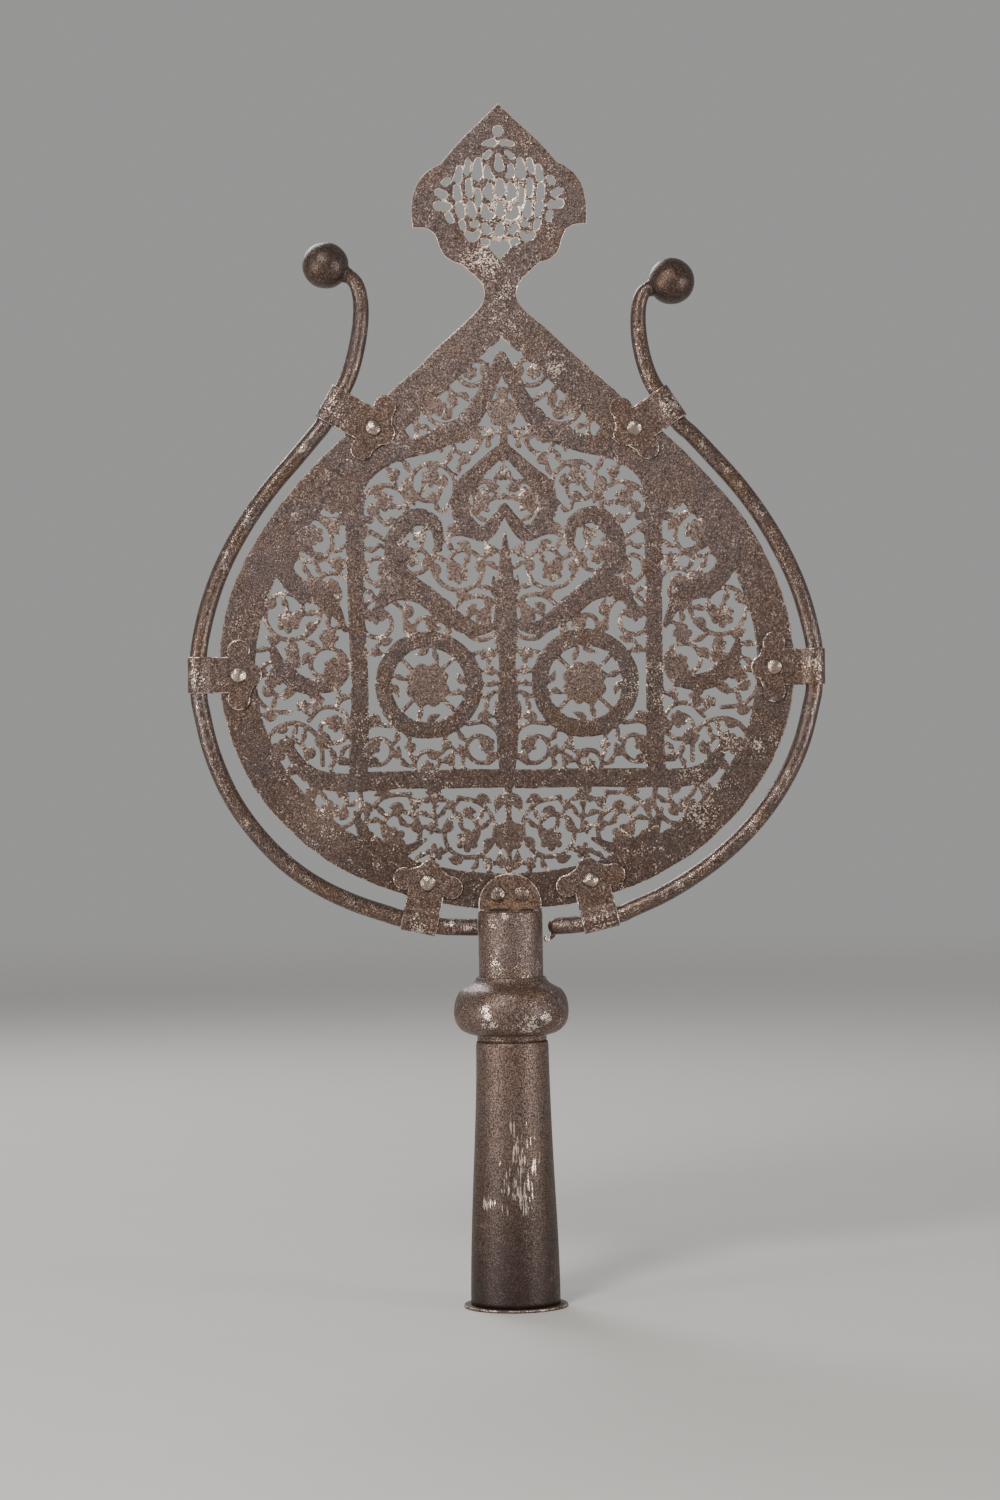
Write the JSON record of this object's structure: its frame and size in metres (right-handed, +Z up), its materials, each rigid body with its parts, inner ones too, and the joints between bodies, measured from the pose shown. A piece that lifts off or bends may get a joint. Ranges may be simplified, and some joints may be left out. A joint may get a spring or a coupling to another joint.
{
  "type": "processional standard",
  "caption": "Pierced steel processional standard: a pear-shaped openwork plate with a leaf-shaped finial, ringed by bent guard rods in riveted clips, on a tubular socket with a knop.",
  "frame": {"origin": "middle of the mouth ring's underside, on the socket's axis", "axes": "+Z up the socket's axis to the tip of the finial, -Y out of the face seen in the picture, +X to the right in the picture"},
  "size_m": [0.35, 0.0636, 0.66],
  "materials": {
    "dark_steel": "dark brown patina, fine pitting",
    "rubbed_steel": "patina rubbed bright on the high places",
    "rusty_steel": "brown rust, matt",
    "rivet_steel": "hammered, rubbed bright"
  },
  "bodies": {
    "root": {"mouth_ring": "rusty_steel", "lug_front": "rusty_steel", "lug_back": "rusty_steel", "clip_lower_left": "rusty_steel", "clip_lower_right": "rusty_steel", "clip_middle_left": "rusty_steel", "clip_middle_right": "rusty_steel", "clip_upper_left": "rusty_steel", "clip_upper_right": "rusty_steel", "socket_ferrule": "dark_steel", "socket_neck": "dark_steel", "pierced_plate": "dark_steel", "socket_knop": "rubbed_steel", "guard_rod_left": "rubbed_steel", "guard_rod_right": "rubbed_steel", "rod_ball_left": "rubbed_steel", "rod_ball_right": "rubbed_steel", "lug_rivet_left": "rivet_steel", "lug_rivet_right": "rivet_steel", "clip_rivet_lower_left": "rivet_steel", "clip_rivet_lower_right": "rivet_steel", "clip_rivet_middle_left": "rivet_steel", "clip_rivet_middle_right": "rivet_steel", "clip_rivet_upper_left": "rivet_steel", "clip_rivet_upper_right": "rivet_steel"}
  },
  "joints": []
}
